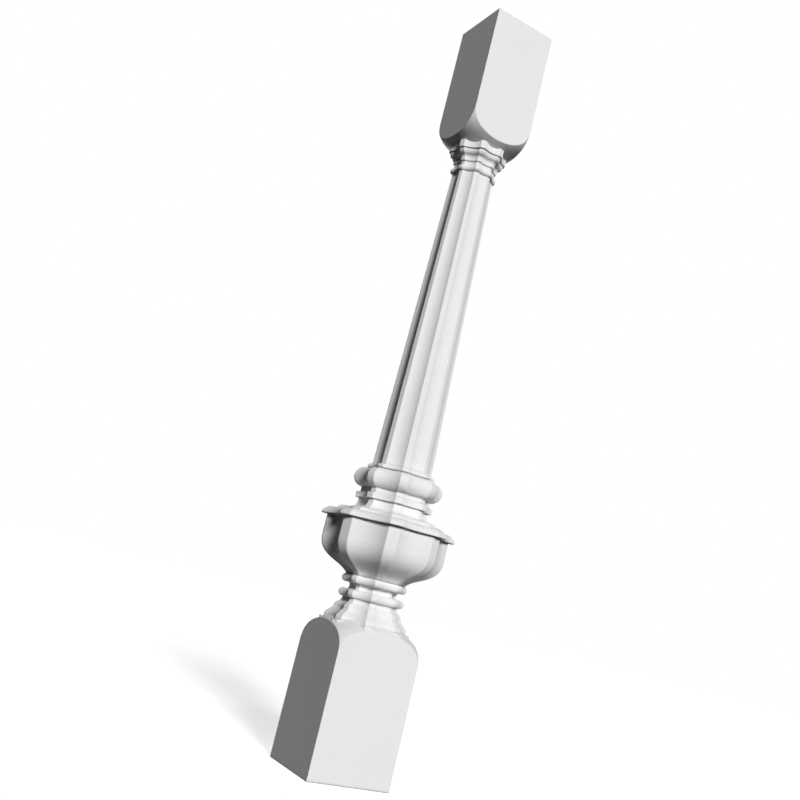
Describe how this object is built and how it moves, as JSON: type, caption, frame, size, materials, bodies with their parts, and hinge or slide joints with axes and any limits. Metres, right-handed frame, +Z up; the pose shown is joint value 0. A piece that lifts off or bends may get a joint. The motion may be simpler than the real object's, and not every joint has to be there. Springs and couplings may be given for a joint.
{
  "type": "stone baluster",
  "caption": "One-piece stone baluster with square foot and head blocks, turned shoulders, a lipped bowl and a tapering fluted shaft.",
  "frame": {"origin": "middle of the square underside of the foot block", "axes": "+Z up the stem, towards the head block; X and Y square to the faces of both blocks"},
  "size_m": [0.1474, 0.1474, 0.9],
  "materials": {
    "stone": "fine-grained pale stone, rubbed smooth, with arrises very slightly eased"
  },
  "bodies": {
    "root": {"baluster": "stone"}
  },
  "joints": []
}
